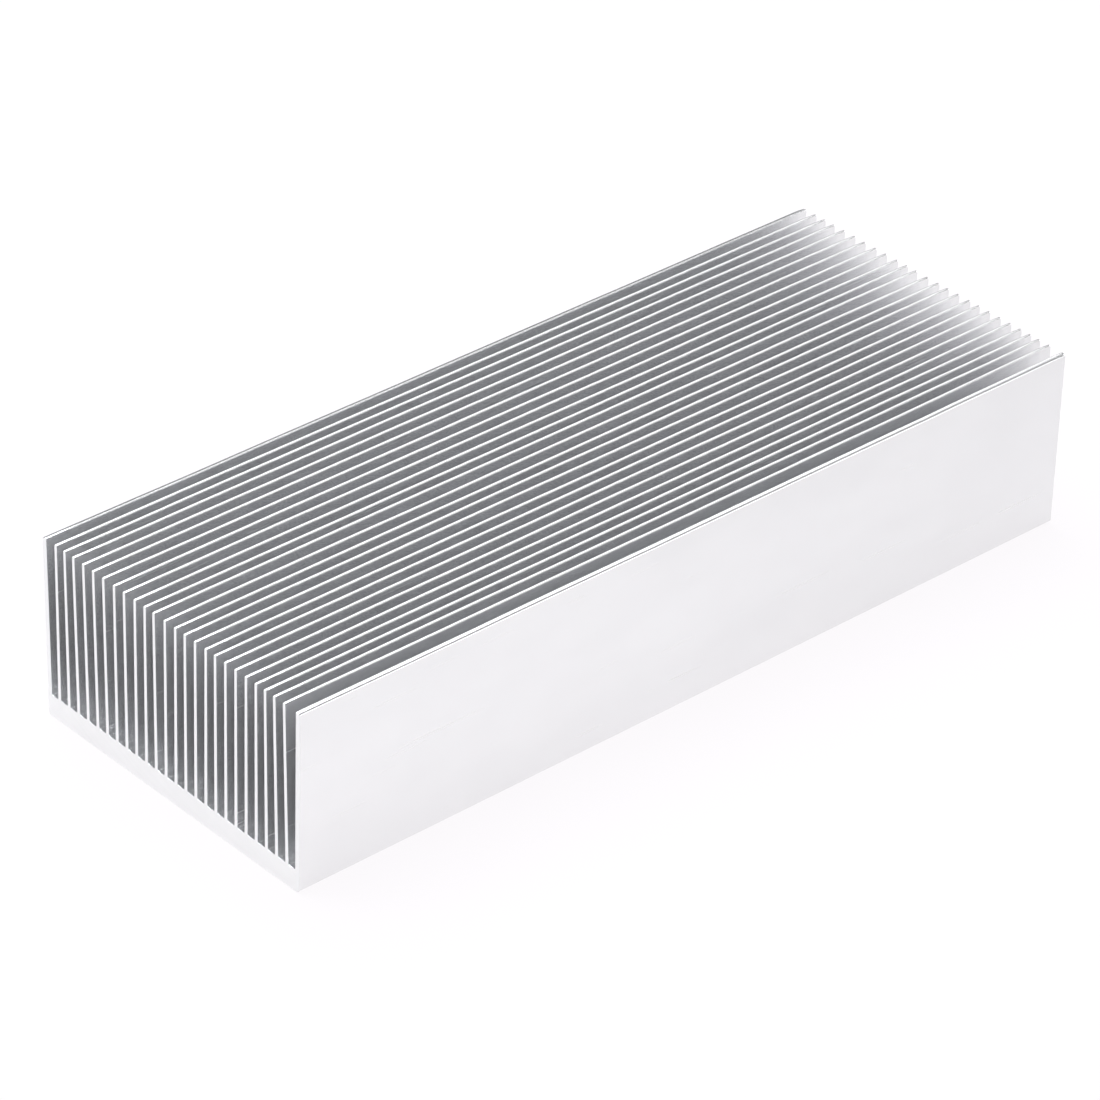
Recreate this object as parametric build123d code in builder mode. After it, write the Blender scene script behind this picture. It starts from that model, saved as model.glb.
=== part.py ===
from build123d import *
import os
from math import radians, tan

# Dense-fin heat sink: one straight extrusion of aluminium, sawn square at both ends.
# The profile is drawn once, as a single closed outline, and extruded along Y.
# X runs across the fins, Y along them and Z up. The origin is the centre of the flat underside.

# Overall size, in millimetres
base_width = 69.0
length = 182.0
height = 37.0

# Base
base_thickness = 4.6
base_edge_radius = 1.0

# Fins: evenly spaced at the root, a little thinner at the tip than at the root
fin_count = 26
fin_root_thickness = 0.85
fin_tip_thickness = 0.70
outer_fin_thickness = 1.10
root_fillet_radius = 0.30
tip_corner_radius = 0.20

# The tips of the two outer fins fall away a little to the outside, with a softer corner there
outer_tip_drop = 0.25
outer_tip_radius = 0.45

# Fins knocked slightly to one side: fin number counted from -X, and the angle
# in degrees by which that fin stands off the vertical towards -X
fin_lean = {
    1: 1.1,
    2: 0.4,
    3: 0.9,
    4: 1.2,
    5: 1.15,
    6: 1.05,
    7: 0.8,
    8: 0.5,
    9: 0.3,
    12: 0.5,
    14: -0.3,
    17: -0.3,
    22: 0.3,
    23: 0.7,
    24: 1.4,
    25: 1.5,
}

# The outer faces of the first and last fin are flush with the sides of the base
fin_pitch = (base_width - outer_fin_thickness) / (fin_count - 1)
fin_height = height - base_thickness


def fin_corners(number):
    """The four corners of one fin's outline, from its -X root over the tip to its +X root."""
    root_centre = (number - 1) * fin_pitch - (base_width - outer_fin_thickness) / 2
    tip_centre = root_centre - fin_height * tan(radians(fin_lean.get(number, 0.0)))
    if number in (1, fin_count):
        root_half = outer_fin_thickness / 2
        tip_half = outer_fin_thickness / 2
    else:
        root_half = fin_root_thickness / 2
        tip_half = fin_tip_thickness / 2
    left_tip = height - outer_tip_drop if number == 1 else height
    right_tip = height - outer_tip_drop if number == fin_count else height
    return [
        (root_centre - root_half, base_thickness),
        (tip_centre - tip_half, left_tip),
        (tip_centre + tip_half, right_tip),
        (root_centre + root_half, base_thickness),
    ]


def corners_at(level):
    """The corners that the profile has at one height at this moment, from -X to +X."""
    corners = profile.vertices().filter_by_position(Axis.Y, level - 0.001, level + 0.001)
    return corners.sort_by(Axis.X)


# The outline in order: up the -X side, over every fin in turn, down the +X side
profile_corners = [(-base_width / 2, 0.0)]
for fin_number in range(1, fin_count + 1):
    profile_corners += fin_corners(fin_number)
profile_corners.append((base_width / 2, 0.0))

with BuildPart() as heat_sink:
    with BuildSketch(Plane.XZ) as profile:
        with BuildLine():
            Polyline(*profile_corners, close=True)
        make_face()

        # The long edges of the underside are well rounded
        fillet(corners_at(0.0), radius=base_edge_radius)

        # Each channel has a small fillet at both sides of its floor. The outermost two corners
        # at that height belong to no channel: there the outer fins carry on from the base's sides
        fillet(corners_at(base_thickness)[1:-1], radius=root_fillet_radius)

        # The tips have softly rounded corners
        fillet(corners_at(height), radius=tip_corner_radius)
        fillet(corners_at(height - outer_tip_drop), radius=outer_tip_radius)
    extrude(amount=length / 2, both=True)

heat_sink.part.label = "heat_sink"
os.makedirs("parts", exist_ok=True)
export_step(heat_sink.part, "parts/heat_sink.step")
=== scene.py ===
from math import cos, pi, radians, sin

import bpy
from bpy.props import (
    FloatProperty,
    FloatVectorProperty,
    IntProperty,
    PointerProperty,
)
from mathutils import Matrix, Vector


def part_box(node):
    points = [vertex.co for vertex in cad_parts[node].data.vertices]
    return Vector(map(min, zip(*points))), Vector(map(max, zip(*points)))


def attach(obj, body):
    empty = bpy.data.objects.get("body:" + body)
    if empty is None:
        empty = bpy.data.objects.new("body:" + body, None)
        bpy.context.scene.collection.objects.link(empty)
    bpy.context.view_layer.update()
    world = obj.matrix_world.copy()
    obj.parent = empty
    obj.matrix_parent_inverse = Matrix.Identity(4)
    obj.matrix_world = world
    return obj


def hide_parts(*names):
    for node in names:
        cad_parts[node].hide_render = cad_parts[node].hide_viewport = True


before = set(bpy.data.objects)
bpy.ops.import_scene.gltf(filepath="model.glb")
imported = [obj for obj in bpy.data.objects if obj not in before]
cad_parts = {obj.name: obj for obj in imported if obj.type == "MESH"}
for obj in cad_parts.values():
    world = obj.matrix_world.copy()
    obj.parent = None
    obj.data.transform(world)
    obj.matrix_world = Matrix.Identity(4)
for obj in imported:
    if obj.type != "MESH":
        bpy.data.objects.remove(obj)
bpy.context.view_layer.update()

bl_info = {
    "name": "Dense-fin heat sink",
    "version": (1, 0, 0),
    "blender": (4, 5, 0),
    "location": "3D View > Sidebar > Heat Sink",
    "description": "Builds an extruded aluminium heat sink and the plain studio that it stands in",
    "category": "Object",
}

NODE = "heat_sink"
BOX_LOW, BOX_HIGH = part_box(NODE)

# Degrees by which each fin stands off the vertical towards -X, from the first fin to the last
FIN_LEAN_DEGREES = (
    1.1, 0.4, 0.9, 1.2, 1.15, 1.05, 0.8, 0.5, 0.3, 0.0, 0.0, 0.5, 0.0,
    -0.3, 0.0, 0.0, -0.3, 0.0, 0.0, 0.0, 0.0, 0.3, 0.7, 1.4, 1.5, 0.0,
)

# How much closer the stations along the length stand towards the far end: 0 is evenly spaced
END_EASING = 0.95

# Straight steps in each rounded corner of the section
UNDERSIDE_STEPS = 10.0
TIP_STEPS = 5.0
FLOOR_STEPS = 4.0

# How far apart the fins read the noise that they wander by, and the span that it is spread to
WANDER_APART = 7.3
WANDER_SPAN = 4.0

# Faces whose normal lies along the length by more than this belong to a cut
CUT_FACING = 0.9

# Size of the oxide clouds on the skin and on the cut ends, in metres
SKIN_CLOUD_SIZE = 0.014
SAWN_CLOUD_SIZE = 0.009

# Range of the noise over which a roughness goes from its lowest to its highest
NOISE_LOW, NOISE_HIGH = 0.3, 0.7

# Middle of the saw blade, seen from a cut end, in metres
SAW_HUB = (0.05, 0.0, 0.16)

# The two runs of scratches: their turn in degrees, and how far each is moved in the noise.
# The density is along each axis, per metre
SCRATCH_RUNS = ((1.5, 0.0), (-3.0, 3.1))
SCRATCH_DENSITY = (2400.0, 20.0, 2400.0)

# The floor is a square of twice this size, in metres. In reflections its white fades over this
# range, measured along this direction: painted shade, as if the paper were lit less towards +X
# and the far end, which darkens the reflections in the heat sink's side towards its far end
FLOOR_HALF = 3.0
PAINTED_SHADE_DIRECTION = (1.0, 0.5, 0.0)
PAINTED_SHADE_FROM, PAINTED_SHADE_TO = 0.03, 0.2

# Where the room's unlit corner is, and the cosines between which the walls darken into it
CORNER_DIRECTION = (-0.73, 0.68, 0.0)
CORNER_FROM, CORNER_TO = 0.6, 0.9

# Sines of the heights between which the walls give way to the darker room above
ABOVE_FROM, ABOVE_TO = 0.15, 0.5

# Each soft lamp's direction from the heat sink and the side of its square, in metres
LAMP_DISTANCE = 1.5
LAMPS = {
    "back_lamp": ((-0.505, 0.475, 0.72), 0.9),
    "front_lamp": ((-0.3, -0.8, 0.55), 1.4),
    "far_lamp": ((0.05, 0.95, 0.25), 1.0),
    "side_lamp": ((0.83, 0.5, 0.14), 0.7),
    "top_lamp": ((-0.3, -0.1, 1.0), 1.4),
}

WHITE = (1.0, 1.0, 1.0)
BLACK = (0.0, 0.0, 0.0)

# The camera's frame in millimetres, and the nearest that it sees in metres
SENSOR_WIDTH = 36.0
CLIP_START = 0.01

# Light gets in and out of the deep channels by many reflections
GLOSSY_BOUNCES = 12


def length_property(name, description, default):
    """A size in metres."""
    return FloatProperty(name=name, description=description, default=default, min=0.0,
                         precision=5, subtype="DISTANCE", unit="LENGTH")


def share_property(name, description, default):
    """A share from 0 to 1."""
    return FloatProperty(name=name, description=description, default=default, min=0.0, max=1.0,
                         subtype="FACTOR")


def colour_property(name, description, default):
    """A colour without its alpha."""
    return FloatVectorProperty(name=name, description=description, default=default, size=3,
                               min=0.0, max=1.0, subtype="COLOR")


def angle_property(name, description, degrees):
    """An angle, whose default is given in degrees."""
    return FloatProperty(name=name, description=description, default=radians(degrees),
                         subtype="ANGLE", unit="ROTATION")


class HeatSinkSizes(bpy.types.PropertyGroup):
    """Sizes of the extrusion"""

    base_width: length_property("Base width", "Width of the base across the fins", 0.069)
    base_thickness: length_property("Base thickness", "Underside to channel floor", 0.0046)
    height: length_property("Height", "Underside to fin tips", BOX_HIGH[2] - BOX_LOW[2])
    length: length_property("Length", "Length along the fins", BOX_HIGH[1] - BOX_LOW[1])
    fin_count: IntProperty(name="Fins", description="Number of fins", default=26, min=3, max=32)
    fin_root_thickness: length_property("Fin root", "Thickness of a fin at its root", 0.00085)
    fin_tip_thickness: length_property("Fin tip", "Thickness of a fin at its tip", 0.00070)
    outer_fin_thickness: length_property("Outer fin", "Thickness of the two outer fins", 0.0011)
    root_fillet: length_property("Root fillet", "Radius at the channel floor", 0.0003)
    tip_rounding: length_property("Tip rounding", "Radius of the corners at a tip", 0.0002)
    end_wear: length_property("End wear", "How far the tips are worn down at the far cut", 0.00014)
    wear_length: length_property("Wear length", "Length of the worn part of a tip", 0.003)
    back_tip_rounding: length_property("Back tip rounding",
                                       "Radius of the -X corners at the inner tips", 0.0003)
    outer_tip_rounding: length_property("Outer tip rounding",
                                        "Radius of the outer corner of an outer fin's tip",
                                        0.00045)
    outer_tip_drop: length_property("Outer tip drop",
                                    "How much lower that corner is than the tip", 0.00025)
    underside_rounding: length_property("Underside rounding",
                                        "Radius along the long edges of the underside", 0.001)
    sawn_edge: length_property("Sawn edge", "Width of the broken edge around the cut ends",
                               0.00006)
    waviness: length_property("Waviness", "How far a fin's tip wanders along its length", 0.00008)
    wave_length: length_property("Wave length", "Length of one wander of a fin's tip", 0.035)
    wave_seed: IntProperty(name="Wave seed", description="Picks the wander of the tips",
                           default=4)
    stations: IntProperty(name="Stations", description="Cross-sections along the length",
                          default=44, min=6, max=120)
    fin_lean: FloatVectorProperty(
        name="Fin lean", description="Angle of each fin off the vertical, towards -X",
        size=len(FIN_LEAN_DEGREES), default=[radians(angle) for angle in FIN_LEAN_DEGREES],
        unit="ROTATION")


class HeatSinkFinish(bpy.types.PropertyGroup):
    """Colours and surface of the aluminium"""

    metal: colour_property("Metal", "Colour of the bare aluminium", (0.911, 0.911, 0.917))
    cloud: colour_property("Cloud", "Colour of the faint cloudy oxide", (0.885, 0.885, 0.892))
    sawn_metal: colour_property("Sawn metal", "Colour of the cut ends", (0.95, 0.95, 0.95))
    skin_roughness: share_property("Skin roughness", "Roughness of the extruded skin", 0.22)
    metallic: share_property("Metallic", "Share of the skin that reflects as bare metal; the rest "
                             "scatters as oxide does", 0.9)
    sawn_roughness: share_property("Sawn roughness", "Roughness of the cut ends", 0.5)
    die_line_pitch: length_property("Die line pitch", "Distance between the lines left by the die",
                                    0.0004)
    die_line_depth: length_property("Die line depth", "Depth of the lines left by the die",
                                    0.0000008)
    saw_mark_pitch: length_property("Saw mark pitch", "Distance between the saw's marks", 0.0006)
    saw_mark_depth: length_property("Saw mark depth", "Depth of the saw's marks", 0.000003)
    scratch_density: share_property("Scratches", "Share of the skin with fine scratches", 0.2)


class HeatSinkStage(bpy.types.PropertyGroup):
    """Floor, light and camera"""

    floor: colour_property("Floor", "Colour of the floor", (0.7, 0.7, 0.7))
    floor_white: colour_property("Floor white", "The paper's white, as the camera and reflections "
                                 "see it", (1.0, 0.978, 1.0))
    backdrop_share: share_property("Backdrop share", "How much of the floor that the camera and "
                                   "reflections see is plain white rather than lit", 0.94)
    # Painted shade: how far the floor's white is darkened in reflections towards its far side
    floor_painted_shade: share_property("Floor fade", "How much the floor's white fades in reflections "
                               "at its far side", 0.17)
    room_walls: FloatProperty(name="Room walls", description="Level of the white walls all round",
                              default=0.55, min=0.0)
    room_corner: FloatProperty(name="Room corner", description="Level of the unlit corner behind",
                               default=0.0, min=0.0)
    room_above: FloatProperty(name="Room above", description="Level of the darker room above",
                              default=0.22, min=0.0)
    back_lamp: FloatProperty(name="Back lamp", description="Power of the soft lamp behind",
                             default=4.0, min=0.0, unit="POWER")
    front_lamp: FloatProperty(name="Front lamp", description="Power of the soft lamp in front",
                              default=0.5, min=0.0, unit="POWER")
    far_lamp: FloatProperty(name="Far lamp", description="Power of the low soft lamp beyond the "
                            "far end", default=6.0, min=0.0, unit="POWER")
    side_lamp: FloatProperty(name="Side lamp", description="Power of the low soft lamp at +X",
                             default=3.0, min=0.0, unit="POWER")
    top_lamp: FloatProperty(name="Top lamp", description="Power of the soft lamp overhead",
                            default=52.0, min=0.0, unit="POWER")
    top_colour: colour_property("Top lamp colour", "Colour of the soft lamp overhead",
                                (0.93, 0.965, 1.0))
    lens: FloatProperty(name="Lens", description="Focal length in millimetres on a 36 mm frame",
                        default=185.4, min=1.0)
    camera_side: angle_property("Camera side", "Camera's turn from the near end towards +X", 47.21)
    camera_height: angle_property("Camera height", "Camera's angle above the floor", 33.13)
    camera_roll: angle_property("Camera roll", "Camera's turn about its own axis", 1.92)
    camera_distance: length_property("Camera distance", "Camera to the point it aims at", 1.0173)
    aim: FloatVectorProperty(name="Aim", description="Point that the camera aims at", size=3,
                             default=(-0.00055, -0.00362, 0.01537), precision=5,
                             subtype="TRANSLATION", unit="LENGTH")


class NodeSheet:
    """A node tree that is wired up by calls"""

    def __init__(self, tree):
        self.tree = tree

    def node(self, kind, settings=None, **sockets):
        """Add a node. Keys of sockets are input names with _ for a space; numbered keys,
        as in i0, are the input's place."""
        node = self.tree.nodes.new(kind)
        for key, value in (settings or {}).items():
            setattr(node, key, value)
        for key, value in sockets.items():
            if key[0] == "i" and key[1:].isdigit():
                socket = node.inputs[int(key[1:])]
            else:
                socket = next(s for s in node.inputs
                              if s.enabled and s.name == key.replace("_", " "))
            self.feed(socket, value)
        return node

    def feed(self, socket, value):
        """Link a socket to a node or to another socket, or set its value."""
        if isinstance(value, bpy.types.Node):
            value = next(s for s in value.outputs if s.enabled)
        if isinstance(value, bpy.types.NodeSocket):
            self.tree.links.new(value, socket)
        else:
            socket.default_value = value

    def maths(self, operation, a, b=None, c=None):
        """One step of arithmetic with numbers."""
        node = self.node("ShaderNodeMath", {"operation": operation}, i0=a)
        if b is not None:
            self.feed(node.inputs[1], b)
        if c is not None:
            self.feed(node.inputs[2], c)
        return node.outputs[0]

    def vector_maths(self, operation, a, b=None):
        """One step of arithmetic with vectors."""
        node = self.node("ShaderNodeVectorMath", {"operation": operation}, i0=a)
        if b is not None:
            self.feed(node.inputs[1], b)
        return node.outputs["Value" if operation in ("DOT_PRODUCT", "LENGTH") else "Vector"]

    def choose(self, condition, when_true, when_false):
        """A number picked by a condition of 0 or 1."""
        step = self.maths("SUBTRACT", when_true, when_false)
        return self.maths("MULTIPLY_ADD", condition, step, when_false)

    def xyz(self, x, y, z):
        """A vector of three numbers."""
        return self.node("ShaderNodeCombineXYZ", X=x, Y=y, Z=z).outputs[0]

    def noise(self, position, density, detail, roughness):
        """Noise read at a position, with its own density along each axis."""
        scaled = self.vector_maths("MULTIPLY", position, density)
        return self.node("ShaderNodeTexNoise", Vector=scaled, Scale=1.0, Detail=detail,
                         Roughness=roughness).outputs[0]

    def mix_colours(self, share, first, second):
        """The first colour, giving way to the second by a share."""
        return self.node("ShaderNodeMix", {"data_type": "RGBA"}, Factor=share,
                         A=(*first, 1.0), B=(*second, 1.0))

    def ramp(self, value, start, end, low, high):
        """A value's way from start to end, turned into one from low to high."""
        return self.node("ShaderNodeMapRange", Value=value, From_Min=start, From_Max=end,
                         To_Min=low, To_Max=high).outputs[0]


def add_sockets(tree, in_out, sockets):
    for name, kind in sockets:
        tree.interface.new_socket(name=name, in_out=in_out, socket_type=kind)


def extrusion_tree():
    """Geometry nodes that draw the section by rule and carry it along the length.

    The input mesh has one point for each fin, and the point's attribute "lean" is its angle.
    """
    tree = bpy.data.node_groups.new("finned_extrusion", "GeometryNodeTree")
    length_kind = "NodeSocketFloat"
    add_sockets(tree, "INPUT", [
        ("Fin Points", "NodeSocketGeometry"),
        ("Base Width", length_kind),
        ("Base Thickness", length_kind),
        ("Height", length_kind),
        ("Length", length_kind),
        ("Fin Count", "NodeSocketInt"),
        ("Fin Root Thickness", length_kind),
        ("Fin Tip Thickness", length_kind),
        ("Outer Fin Thickness", length_kind),
        ("Root Fillet", length_kind),
        ("Tip Rounding", length_kind),
        ("Back Tip Rounding", length_kind),
        ("Outer Tip Rounding", length_kind),
        ("Outer Tip Drop", length_kind),
        ("Underside Rounding", length_kind),
        ("Sawn Edge", length_kind),
        ("End Wear", length_kind),
        ("Wear Length", length_kind),
        ("Waviness", length_kind),
        ("Wave Length", length_kind),
        ("Wave Seed", "NodeSocketInt"),
        ("Stations", "NodeSocketInt"),
        ("Skin", "NodeSocketMaterial"),
        ("Sawn Ends", "NodeSocketMaterial"),
    ])
    add_sockets(tree, "OUTPUT", [("Extrusion", "NodeSocketGeometry")])
    sheet = NodeSheet(tree)
    given = tree.nodes.new("NodeGroupInput").outputs
    maths = sheet.maths
    index = tree.nodes.new("GeometryNodeInputIndex").outputs[0]

    # Corners of the section, numbered from the -X corner of the underside: four for each fin,
    # and the last one is the +X corner of the underside
    corner_count = maths("MULTIPLY_ADD", given["Fin Count"], 4.0, 2.0)
    last_corner = maths("SUBTRACT", corner_count, 1.0)
    fin_number = maths("FLOOR", maths("DIVIDE", maths("SUBTRACT", index, 1.0), 4.0))
    place = maths("MODULO", maths("ADD", index, 3.0), 4.0)
    on_first = maths("LESS_THAN", index, 0.5)
    on_last = maths("GREATER_THAN", index, maths("SUBTRACT", last_corner, 0.5))
    on_underside = maths("ADD", on_first, on_last)
    on_tip = maths("LESS_THAN", maths("ABSOLUTE", maths("SUBTRACT", place, 1.5)), 1.0)
    side = maths("SUBTRACT", maths("MULTIPLY", maths("GREATER_THAN", place, 1.5), 2.0), 1.0)

    # Where each fin stands, and how thick it is
    half_span = maths("DIVIDE", maths("SUBTRACT", given["Base Width"],
                                      given["Outer Fin Thickness"]), 2.0)
    gaps = maths("SUBTRACT", given["Fin Count"], 1.0)
    pitch = maths("DIVIDE", maths("MULTIPLY", half_span, 2.0), gaps)
    root_x = maths("SUBTRACT", maths("MULTIPLY", fin_number, pitch), half_span)
    fin_height = maths("SUBTRACT", given["Height"], given["Base Thickness"])
    is_outer = maths("ADD", maths("LESS_THAN", fin_number, 0.5),
                     maths("GREATER_THAN", fin_number, maths("SUBTRACT", gaps, 0.5)))
    inner_thickness = sheet.choose(on_tip, given["Fin Tip Thickness"], given["Fin Root Thickness"])
    thickness = sheet.choose(is_outer, given["Outer Fin Thickness"], inner_thickness)
    lean = sheet.node("GeometryNodeInputNamedAttribute", {"data_type": "FLOAT"}, Name="lean")
    own_lean = sheet.node("GeometryNodeSampleIndex",
                          {"data_type": "FLOAT", "domain": "POINT", "clamp": True},
                          Geometry=given["Fin Points"], Value=lean.outputs["Attribute"],
                          Index=fin_number)
    tip_shift = maths("MULTIPLY", maths("TANGENT", own_lean.outputs[0]), fin_height)
    fin_x = maths("MULTIPLY_ADD", maths("MULTIPLY", side, thickness), 0.5, root_x)
    fin_x = maths("SUBTRACT", fin_x, maths("MULTIPLY", on_tip, tip_shift))
    outer_tip = maths("ADD", maths("COMPARE", index, 2.0, 0.5),
                      maths("COMPARE", index, maths("SUBTRACT", last_corner, 2.0), 0.5))
    fin_z = sheet.choose(on_tip, given["Height"], given["Base Thickness"])
    fin_z = maths("SUBTRACT", fin_z, maths("MULTIPLY", outer_tip, given["Outer Tip Drop"]))
    underside_x = maths("MULTIPLY", maths("SUBTRACT", on_last, on_first),
                        maths("DIVIDE", given["Base Width"], 2.0))
    corner_x = sheet.choose(on_underside, underside_x, fin_x)
    corner_z = maths("MULTIPLY", maths("SUBTRACT", 1.0, on_underside), fin_z)

    # The closed outline, with each kind of corner rounded by its own radius
    line = sheet.node("GeometryNodeCurvePrimitiveLine", {"mode": "POINTS"}, End=(1.0, 0.0, 0.0))
    line = sheet.node("GeometryNodeResampleCurve", {"mode": "COUNT"}, Curve=line,
                      Count=corner_count)
    line = sheet.node("GeometryNodeSetPosition", Geometry=line,
                      Position=sheet.xyz(corner_x, corner_z, 0.0))
    outline = sheet.node("GeometryNodeSetSplineCyclic", Geometry=line, Cyclic=True)
    beside_base = maths("ADD", maths("LESS_THAN", index, 1.5),
                        maths("GREATER_THAN", index, maths("SUBTRACT", last_corner, 1.5)))
    floor_radius = maths("MULTIPLY", maths("SUBTRACT", 1.0, beside_base), given["Root Fillet"])
    tip_radius = sheet.choose(maths("LESS_THAN", side, 0.0), given["Back Tip Rounding"],
                              given["Tip Rounding"])
    radius = sheet.choose(on_tip, tip_radius, floor_radius)
    radius = sheet.choose(outer_tip, given["Outer Tip Rounding"], radius)
    radius = sheet.choose(on_underside, given["Underside Rounding"], radius)
    steps = sheet.choose(on_tip, TIP_STEPS, FLOOR_STEPS)
    steps = sheet.choose(on_underside, UNDERSIDE_STEPS, steps)
    outline = sheet.node("GeometryNodeFilletCurve", {"mode": "POLY"}, Curve=outline, Count=steps,
                         Radius=radius, Limit_Radius=True)

    # Stations along the length: one at each cut, one at each broken edge, and the rest between
    # them, closer together towards the far end. They are set out along Z, and the bar is turned
    # afterwards, which puts the first station at the far end
    half_length = maths("DIVIDE", given["Length"], 2.0)
    broken_at = maths("SUBTRACT", half_length, given["Sawn Edge"])
    last_station = maths("SUBTRACT", given["Stations"], 1.0)
    along = maths("DIVIDE", maths("SUBTRACT", index, 1.0), maths("SUBTRACT", last_station, 2.0))
    eased = maths("SUBTRACT", 1.0, maths("COSINE", maths("MULTIPLY", along, pi / 2.0)))
    spread = maths("ADD", maths("MULTIPLY", along, 1.0 - END_EASING),
                   maths("MULTIPLY", eased, END_EASING))
    between = maths("MULTIPLY", maths("MULTIPLY_ADD", spread, 2.0, -1.0), broken_at)
    far_cut = maths("LESS_THAN", index, 0.5)
    near_cut = maths("GREATER_THAN", index, maths("SUBTRACT", last_station, 0.5))
    at_cut = maths("ADD", far_cut, near_cut)
    cut = maths("MULTIPLY", maths("SUBTRACT", near_cut, far_cut), half_length)
    station = sheet.choose(at_cut, cut, between)
    rail = sheet.node("GeometryNodeCurvePrimitiveLine", {"mode": "POINTS"}, End=(0.0, 0.0, 1.0))
    rail = sheet.node("GeometryNodeResampleCurve", {"mode": "COUNT"}, Curve=rail,
                      Count=given["Stations"])
    rail = sheet.node("GeometryNodeSetPosition", Geometry=rail,
                      Position=sheet.xyz(0.0, 0.0, station))
    bar = sheet.node("GeometryNodeCurveToMesh", Curve=rail, Profile_Curve=outline,
                     Fill_Caps=True)
    bar = sheet.node("GeometryNodeFlipFaces", Mesh=bar)
    bar = sheet.node("GeometryNodeTransform", Geometry=bar, Rotation=(radians(90.0), 0.0, 0.0))

    # The edges of the two cuts are broken: the outline at a cut is drawn in by the same width
    position = tree.nodes.new("GeometryNodeInputPosition").outputs[0]
    normal = tree.nodes.new("GeometryNodeInputNormal").outputs[0]
    x, y, z = sheet.node("ShaderNodeSeparateXYZ", Vector=position).outputs
    end_ring = maths("GREATER_THAN", maths("ABSOLUTE", y),
                     maths("MULTIPLY_ADD", given["Sawn Edge"], -0.5, half_length))
    outward = sheet.vector_maths("MULTIPLY", normal, (1.0, 0.0, 1.0))
    outward = sheet.vector_maths("NORMALIZE", outward)
    inward = sheet.node("ShaderNodeVectorMath", {"operation": "SCALE"}, i0=outward,
                        Scale=maths("MULTIPLY", given["Sawn Edge"], -1.0))
    bar = sheet.node("GeometryNodeSetPosition", Geometry=bar, Selection=end_ring,
                     Offset=inward.outputs[0])

    # The fins wander a little along their length. The two outer ones only wander inwards
    fin_here = maths("ROUND", maths("DIVIDE", maths("ADD", x, half_span), pitch))
    up_fin = maths("DIVIDE", maths("SUBTRACT", z, given["Base Thickness"]), fin_height)
    up_fin = sheet.node("ShaderNodeClamp", Value=up_fin).outputs[0]
    wander = sheet.node(
        "ShaderNodeTexNoise", {"noise_dimensions": "2D"},
        Vector=sheet.xyz(maths("DIVIDE", y, given["Wave Length"]),
                         maths("MULTIPLY_ADD", fin_here, WANDER_APART, given["Wave Seed"]), 0.0),
        Scale=1.0, Detail=1.0)
    wander = maths("MULTIPLY_ADD", wander.outputs[0], WANDER_SPAN, -WANDER_SPAN / 2.0)
    first_fin = maths("LESS_THAN", fin_here, 0.5)
    last_fin = maths("GREATER_THAN", fin_here, maths("SUBTRACT", gaps, 0.5))
    inwards = maths("ABSOLUTE", wander)
    wander = sheet.choose(first_fin, inwards, wander)
    wander = sheet.choose(last_fin, maths("MULTIPLY", inwards, -1.0), wander)
    reach = maths("MULTIPLY", maths("MULTIPLY", up_fin, up_fin), given["Waviness"])
    bar = sheet.node("GeometryNodeSetPosition", Geometry=bar,
                     Offset=sheet.xyz(maths("MULTIPLY", wander, reach), 0.0, 0.0))

    # The tips are worn down a little towards the far cut
    from_end = maths("SUBTRACT", half_length, y)
    wear = maths("SUBTRACT", 1.0, maths("DIVIDE", from_end, given["Wear Length"]))
    wear = sheet.node("ShaderNodeClamp", Value=wear).outputs[0]
    wear = maths("MULTIPLY", maths("MULTIPLY", wear, wear), given["End Wear"])
    wear = maths("MULTIPLY", wear, maths("MULTIPLY", up_fin, -1.0))
    bar = sheet.node("GeometryNodeSetPosition", Geometry=bar,
                     Offset=sheet.xyz(0.0, 0.0, wear))

    bar = sheet.node("GeometryNodeRealizeInstances", Geometry=bar)
    bar = sheet.node("GeometryNodeSetMaterial", Geometry=bar, Material=given["Skin"])
    facing = sheet.vector_maths("DOT_PRODUCT", normal, (0.0, 1.0, 0.0))
    on_cut = maths("GREATER_THAN", maths("ABSOLUTE", facing), CUT_FACING)
    bar = sheet.node("GeometryNodeSetMaterial", Geometry=bar, Selection=on_cut,
                     Material=given["Sawn Ends"])
    done = tree.nodes.new("NodeGroupOutput")
    sheet.feed(done.inputs[0], bar)
    return tree


def set_inputs(modifier, values):
    """Set a geometry nodes modifier's inputs by the names that its tree shows."""
    sockets = {item.name: item.identifier for item in modifier.node_group.interface.items_tree
               if item.item_type == "SOCKET" and item.in_out == "INPUT"}
    for name, value in values.items():
        modifier[sockets[name]] = value


def shader_group(name, inputs, outputs):
    """A new shader node group's sheet, given values and places for its results."""
    tree = bpy.data.node_groups.new(name, "ShaderNodeTree")
    add_sockets(tree, "INPUT", inputs)
    add_sockets(tree, "OUTPUT", outputs)
    given = tree.nodes.new("NodeGroupInput").outputs
    result = tree.nodes.new("NodeGroupOutput").inputs
    return NodeSheet(tree), given, result


def die_lines_group():
    """Fine straight lines that the die leaves along the extrusion."""
    sheet, given, result = shader_group(
        "die_lines",
        [("Position", "NodeSocketVector"), ("Pitch", "NodeSocketFloat")],
        [("Height", "NodeSocketFloat"), ("Streaks", "NodeSocketFloat")])
    # How dense the lines are along the extrusion, per metre; how dense the broad ones are across
    # it beside the fine ones; and what each kind adds to the height
    fine_along, broad_along = 3.0, 5.0
    broad_across = 0.22
    fine_share, broad_share = 0.4, 0.6
    across = sheet.maths("DIVIDE", 1.0, given["Pitch"])
    fine = sheet.noise(given["Position"], sheet.xyz(across, fine_along, across),
                       detail=3.0, roughness=0.7)
    across = sheet.maths("MULTIPLY", across, broad_across)
    broad = sheet.noise(given["Position"], sheet.xyz(across, broad_along, across),
                        detail=2.0, roughness=0.6)
    sheet.feed(result["Height"], sheet.maths("MULTIPLY_ADD", broad, broad_share,
                                             sheet.maths("MULTIPLY", fine, fine_share)))
    sheet.feed(result["Streaks"], broad)
    return sheet.tree


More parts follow.
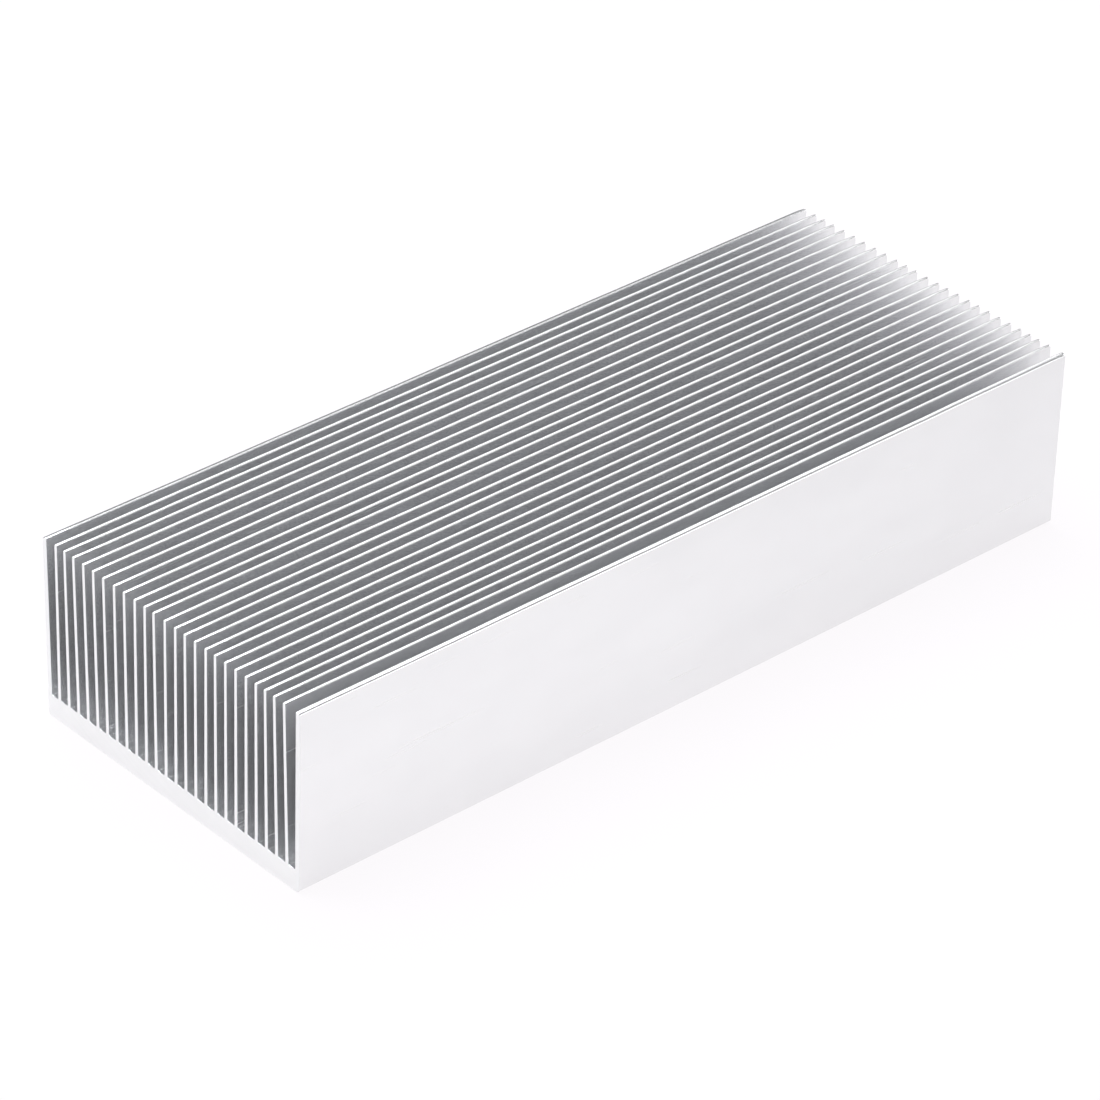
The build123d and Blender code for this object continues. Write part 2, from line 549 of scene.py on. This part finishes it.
def clouds_group():
    """Soft clouds of thin oxide, some millimetres across and drawn out along the extrusion."""
    sheet, given, result = shader_group(
        "oxide_clouds",
        [("Position", "NodeSocketVector"), ("Size", "NodeSocketFloat")],
        [("Cover", "NodeSocketFloat")])
    # How dense the clouds are along the extrusion beside across it, and the noise at which the
    # metal is clear and at which it is covered
    drawn_out = 0.4
    clear_below, full_above = 0.35, 0.65
    density = sheet.maths("DIVIDE", 1.0, given["Size"])
    along = sheet.maths("MULTIPLY", density, drawn_out)
    noise = sheet.noise(given["Position"], sheet.xyz(density, along, density),
                        detail=4.0, roughness=0.55)
    sheet.feed(result["Cover"], sheet.ramp(noise, clear_below, full_above, 0.0, 1.0))
    return sheet.tree


def scratches_group():
    """Sparse hairline scratches from handling, mostly along the extrusion."""
    sheet, given, result = shader_group(
        "handling_scratches",
        [("Position", "NodeSocketVector"), ("Density", "NodeSocketFloat")],
        [("Mask", "NodeSocketFloat")])
    # The noise at which a scratch starts, how far that drops as they grow denser, and how much
    # more noise makes the scratch full
    edge_when_none, edge_drop, edge_width = 0.72, 0.1, 0.04
    masks = []
    for turn, offset in SCRATCH_RUNS:
        turned = sheet.node("ShaderNodeMapping", Vector=given["Position"],
                            Rotation=(radians(turn), 0.0, radians(turn)),
                            Location=(offset, offset, offset), Scale=SCRATCH_DENSITY)
        noise = sheet.node("ShaderNodeTexNoise", Vector=turned, Scale=1.0, Detail=2.0,
                           Roughness=0.5)
        edge = sheet.maths("MULTIPLY_ADD", given["Density"], -edge_drop, edge_when_none)
        full = sheet.maths("ADD", edge, edge_width)
        masks.append(sheet.ramp(noise, edge, full, 0.0, 1.0))
    sheet.feed(result["Mask"], sheet.maths("MAXIMUM", *masks))
    return sheet.tree


def saw_marks_group():
    """Shallow arcs that a circular saw leaves across a cut end."""
    sheet, given, result = shader_group(
        "saw_marks",
        [("Position", "NodeSocketVector"), ("Pitch", "NodeSocketFloat")],
        [("Height", "NodeSocketFloat"), ("Tone", "NodeSocketFloat")])
    # How dense the fine grain between the arcs is, per metre, and its height beside theirs
    grain_density, grain_share = 5000.0, 0.35
    flat = sheet.vector_maths("MULTIPLY", given["Position"], (1.0, 0.0, 1.0))
    from_hub = sheet.vector_maths("LENGTH", sheet.vector_maths("SUBTRACT", flat, SAW_HUB))
    turns = sheet.maths("DIVIDE", from_hub, given["Pitch"])
    arcs = sheet.node("ShaderNodeTexNoise", {"noise_dimensions": "1D"}, W=turns, Scale=1.0,
                      Detail=3.0, Roughness=0.65)
    grain = sheet.node("ShaderNodeTexNoise", Vector=given["Position"], Scale=grain_density,
                       Detail=2.0)
    height = sheet.maths("MULTIPLY_ADD", grain.outputs[0], grain_share, arcs.outputs[0])
    sheet.feed(result["Height"], height)
    sheet.feed(result["Tone"], arcs.outputs[0])
    return sheet.tree


def start_material(name):
    """A material with an empty sheet, its surface shader and its object coordinates."""
    material = bpy.data.materials.new(name)
    material.use_nodes = True
    material.node_tree.nodes.clear()
    sheet = NodeSheet(material.node_tree)
    output = material.node_tree.nodes.new("ShaderNodeOutputMaterial")
    surface = sheet.node("ShaderNodeBsdfPrincipled")
    sheet.feed(output.inputs["Surface"], surface)
    position = material.node_tree.nodes.new("ShaderNodeTexCoord").outputs["Object"]
    return material, sheet, surface, position


def placed(sheet, tree, **sockets):
    """Place a node group in a material with its own values."""
    return sheet.node("ShaderNodeGroup", {"node_tree": tree}, **sockets)


def skin_material(finish, groups):
    """Extruded aluminium: satin, lined by the die, faintly clouded and scratched."""
    # What each mark adds to the roughness, and a scratch's depth beside the die lines'
    by_streaks, by_clouds, by_scratches = 0.02, 0.03, 0.04
    scratch_depth = 0.15

    material, sheet, surface, position = start_material("extruded_aluminium")
    lines = placed(sheet, groups["die_lines"], Position=position, Pitch=finish.die_line_pitch)
    clouds = placed(sheet, groups["oxide_clouds"], Position=position, Size=SKIN_CLOUD_SIZE)
    scratches = placed(sheet, groups["handling_scratches"], Position=position,
                       Density=finish.scratch_density)
    sheet.feed(surface.inputs["Base Color"],
               sheet.mix_colours(clouds, finish.metal, finish.cloud))
    rough = sheet.ramp(lines.outputs["Streaks"], NOISE_LOW, NOISE_HIGH,
                       finish.skin_roughness - by_streaks, finish.skin_roughness + by_streaks)
    rough = sheet.maths("MULTIPLY_ADD", clouds, by_clouds, rough)
    rough = sheet.maths("MULTIPLY_ADD", scratches, by_scratches, rough)
    sheet.feed(surface.inputs["Roughness"], rough)
    surface.inputs["Metallic"].default_value = finish.metallic
    height = sheet.maths("MULTIPLY_ADD", scratches, -scratch_depth, lines.outputs["Height"])
    bump = sheet.node("ShaderNodeBump", Strength=1.0, Distance=finish.die_line_depth,
                      Height=height)
    sheet.feed(surface.inputs["Normal"], bump)
    return material


def sawn_material(finish, groups):
    """Cut aluminium: brighter and rougher than the skin, with the saw's arcs in it."""
    # How much the clouds and the saw's arcs darken the metal, and the span of its roughness
    cloud_share, arc_share = 0.35, 0.5
    smoother, rougher = 0.05, 0.07

    material, sheet, surface, position = start_material("sawn_aluminium")
    marks = placed(sheet, groups["saw_marks"], Position=position, Pitch=finish.saw_mark_pitch)
    clouds = placed(sheet, groups["oxide_clouds"], Position=position, Size=SAWN_CLOUD_SIZE)
    tone = marks.outputs["Tone"]
    shade = sheet.maths("MULTIPLY_ADD", clouds, cloud_share,
                        sheet.maths("MULTIPLY", tone, arc_share))
    sheet.feed(surface.inputs["Base Color"],
               sheet.mix_colours(shade, finish.sawn_metal, finish.metal))
    rough = sheet.ramp(tone, NOISE_LOW, NOISE_HIGH, finish.sawn_roughness - smoother,
                       finish.sawn_roughness + rougher)
    sheet.feed(surface.inputs["Roughness"], rough)
    surface.inputs["Metallic"].default_value = finish.metallic
    bump = sheet.node("ShaderNodeBump", Strength=1.0, Distance=finish.saw_mark_depth,
                      Height=marks.outputs["Height"])
    sheet.feed(surface.inputs["Normal"], bump)
    return material


def fin_points(sizes):
    """A mesh with one point for each fin, whose attribute "lean" holds the fin's angle."""
    mesh = bpy.data.meshes.new("fin_points")
    mesh.from_pydata([(0.0, 0.0, 0.0)] * sizes.fin_count, [], [])
    lean = mesh.attributes.new("lean", "FLOAT", "POINT")
    for number, item in enumerate(lean.data):
        item.value = sizes.fin_lean[number] if number < len(sizes.fin_lean) else 0.0
    return mesh


class HEATSINK_OT_extrusion(bpy.types.Operator):
    """Build the finned extrusion in place of the plain one"""

    bl_idname = "heatsink.extrusion"
    bl_label = "Build Extrusion"

    def execute(self, context):
        sizes = context.scene.heat_sink_sizes
        finish = context.scene.heat_sink_finish
        groups = {
            "die_lines": die_lines_group(),
            "oxide_clouds": clouds_group(),
            "handling_scratches": scratches_group(),
            "saw_marks": saw_marks_group(),
        }
        skin = skin_material(finish, groups)
        sawn = sawn_material(finish, groups)

        maker = bpy.data.objects.new("extrusion_maker", fin_points(sizes))
        context.scene.collection.objects.link(maker)
        nodes = maker.modifiers.new("finned_extrusion", "NODES")
        nodes.node_group = extrusion_tree()
        set_inputs(nodes, {
            "Base Width": sizes.base_width,
            "Base Thickness": sizes.base_thickness,
            "Height": sizes.height,
            "Length": sizes.length,
            "Fin Count": sizes.fin_count,
            "Fin Root Thickness": sizes.fin_root_thickness,
            "Fin Tip Thickness": sizes.fin_tip_thickness,
            "Outer Fin Thickness": sizes.outer_fin_thickness,
            "Root Fillet": sizes.root_fillet,
            "Tip Rounding": sizes.tip_rounding,
            "Back Tip Rounding": sizes.back_tip_rounding,
            "Outer Tip Rounding": sizes.outer_tip_rounding,
            "Outer Tip Drop": sizes.outer_tip_drop,
            "Underside Rounding": sizes.underside_rounding,
            "Sawn Edge": sizes.sawn_edge,
            "End Wear": sizes.end_wear,
            "Wear Length": sizes.wear_length,
            "Waviness": sizes.waviness,
            "Wave Length": sizes.wave_length,
            "Wave Seed": sizes.wave_seed,
            "Stations": sizes.stations,
            "Skin": skin,
            "Sawn Ends": sawn,
        })
        shading = maker.modifiers.new("flat_walls", "WEIGHTED_NORMAL")
        shading.mode = "FACE_AREA"
        shading.keep_sharp = True
        context.view_layer.update()
        evaluated = maker.evaluated_get(context.evaluated_depsgraph_get())
        mesh = bpy.data.meshes.new_from_object(evaluated)
        if not mesh.polygons:
            raise RuntimeError("the extrusion has no faces")
        mesh.name = "finned_extrusion"
        piece = bpy.data.objects.new("finned_extrusion", mesh)
        context.scene.collection.objects.link(piece)
        bpy.data.objects.remove(maker)
        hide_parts(NODE)
        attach(piece, "root")
        return {"FINISHED"}


def aim_matrix(eye, target, roll=0.0):
    """A camera's or lamp's place: at eye, looking at target, turned by roll about its axis."""
    turn = (target - eye).to_track_quat("-Z", "Y").to_matrix().to_4x4()
    return Matrix.Translation(eye) @ turn @ Matrix.Rotation(roll, 4, "Z")


def add_softbox(scene, name, direction, size, power, colour):
    """A square soft lamp that faces the heat sink."""
    lamp = bpy.data.lights.new(name, "AREA")
    lamp.shape = "SQUARE"
    lamp.size = size
    lamp.energy = power
    lamp.color = colour
    holder = bpy.data.objects.new(name, lamp)
    scene.collection.objects.link(holder)
    eye = Vector(direction).normalized() * LAMP_DISTANCE
    holder.matrix_world = aim_matrix(eye, Vector())


class HEATSINK_OT_stage(bpy.types.Operator):
    """Set the floor, the soft lamps and the camera around the heat sink"""

    bl_idname = "heatsink.stage"
    bl_label = "Set Stage"

    def execute(self, context):
        scene = context.scene
        stage = scene.heat_sink_stage

        mesh = bpy.data.meshes.new("floor")
        corners = [(x * FLOOR_HALF, y * FLOOR_HALF, 0.0)
                   for x, y in ((-1, -1), (1, -1), (1, 1), (-1, 1))]
        mesh.from_pydata(corners, [], [(0, 1, 2, 3)])
        floor = bpy.data.objects.new("floor", mesh)
        scene.collection.objects.link(floor)
        material, sheet, surface, position = start_material("pale_floor")
        rays = material.node_tree.nodes.new("ShaderNodeLightPath").outputs
        reflected = sheet.maths("MAXIMUM", rays["Is Glossy Ray"], rays["Is Transmission Ray"])
        seen = sheet.maths("MAXIMUM", rays["Is Camera Ray"], reflected)
        share = sheet.maths("MULTIPLY", seen, stage.backdrop_share)
        # In reflections the white fades a little towards +X and the far end: painted shade that
        # stands in for less light on the paper there, and that darkens the reflections in the heat
        # sink's side
        away = sheet.vector_maths("DOT_PRODUCT", position, PAINTED_SHADE_DIRECTION)
        painted_shade = sheet.ramp(away, PAINTED_SHADE_FROM, PAINTED_SHADE_TO, 0.0, stage.floor_painted_shade)
        white = sheet.maths("SUBTRACT", 1.0, sheet.maths("MULTIPLY", painted_shade, reflected))
        sheet.feed(surface.inputs["Base Color"], sheet.mix_colours(share, stage.floor, BLACK))
        sheet.feed(surface.inputs["Emission Strength"], sheet.maths("MULTIPLY", share, white))
        surface.inputs["Emission Color"].default_value = (*stage.floor_white, 1.0)
        surface.inputs["Roughness"].default_value = 0.9
        surface.inputs["Specular IOR Level"].default_value = 0.0
        mesh.materials.append(material)

        room = bpy.data.worlds.new("room")
        room.use_nodes = True
        walls = NodeSheet(room.node_tree)
        light = room.node_tree.nodes["Background"]
        way = room.node_tree.nodes.new("ShaderNodeTexCoord").outputs["Generated"]
        corner = walls.node("ShaderNodeMapRange", {"interpolation_type": "SMOOTHSTEP"},
                            Value=walls.vector_maths("DOT_PRODUCT", way, CORNER_DIRECTION),
                            From_Min=CORNER_FROM, From_Max=CORNER_TO, To_Min=stage.room_walls,
                            To_Max=stage.room_corner)
        height = walls.node("ShaderNodeSeparateXYZ", Vector=way).outputs["Z"]
        level = walls.node("ShaderNodeMapRange", {"interpolation_type": "SMOOTHSTEP"},
                           Value=height, From_Min=ABOVE_FROM, From_Max=ABOVE_TO,
                           To_Min=corner, To_Max=stage.room_above)
        seen = room.node_tree.nodes.new("ShaderNodeLightPath").outputs["Is Camera Ray"]
        walls.feed(light.inputs["Strength"], walls.maths("MAXIMUM", level, seen))
        light.inputs["Color"].default_value = (*WHITE, 1.0)
        scene.world = room

        for name, (direction, size) in LAMPS.items():
            colour = stage.top_colour if name == "top_lamp" else WHITE
            add_softbox(scene, name, direction, size, getattr(stage, name), colour)

        camera = bpy.data.cameras.new("camera")
        camera.sensor_width = SENSOR_WIDTH
        camera.lens = stage.lens
        camera.clip_start = CLIP_START
        holder = bpy.data.objects.new("camera", camera)
        scene.collection.objects.link(holder)
        aim = Vector(stage.aim)
        level = cos(stage.camera_height)
        towards = Vector((sin(stage.camera_side) * level, -cos(stage.camera_side) * level,
                          sin(stage.camera_height)))
        holder.matrix_world = aim_matrix(aim + towards * stage.camera_distance, aim,
                                         stage.camera_roll)
        scene.camera = holder
        scene.view_settings.view_transform = "Standard"
        scene.cycles.glossy_bounces = GLOSSY_BOUNCES
        return {"FINISHED"}


class HEATSINK_PT_panel(bpy.types.Panel):
    """Sizes, finish and stage of the heat sink"""

    bl_idname = "HEATSINK_PT_panel"
    bl_label = "Heat Sink"
    bl_space_type = "VIEW_3D"
    bl_region_type = "UI"
    bl_category = "Heat Sink"

    def draw(self, context):
        scene = context.scene
        for title, group, operator in (
                ("Extrusion", scene.heat_sink_sizes, "heatsink.extrusion"),
                ("Finish", scene.heat_sink_finish, None),
                ("Stage", scene.heat_sink_stage, "heatsink.stage")):
            box = self.layout.box()
            box.label(text=title)
            for name in type(group).__annotations__:
                box.prop(group, name)
            if operator:
                box.operator(operator)


CLASSES = (
    HeatSinkSizes,
    HeatSinkFinish,
    HeatSinkStage,
    HEATSINK_OT_extrusion,
    HEATSINK_OT_stage,
    HEATSINK_PT_panel,
)


def register():
    """Make the classes and the scene's settings known to Blender."""
    for cls in CLASSES:
        bpy.utils.register_class(cls)
    bpy.types.Scene.heat_sink_sizes = PointerProperty(type=HeatSinkSizes)
    bpy.types.Scene.heat_sink_finish = PointerProperty(type=HeatSinkFinish)
    bpy.types.Scene.heat_sink_stage = PointerProperty(type=HeatSinkStage)


def unregister():
    """Take them out again."""
    del bpy.types.Scene.heat_sink_stage
    del bpy.types.Scene.heat_sink_finish
    del bpy.types.Scene.heat_sink_sizes
    for cls in reversed(CLASSES):
        bpy.utils.unregister_class(cls)


def main():
    """Build the heat sink and its stage."""
    register()
    bpy.ops.heatsink.extrusion()
    bpy.ops.heatsink.stage()


if __name__ == "__main__":
    main()
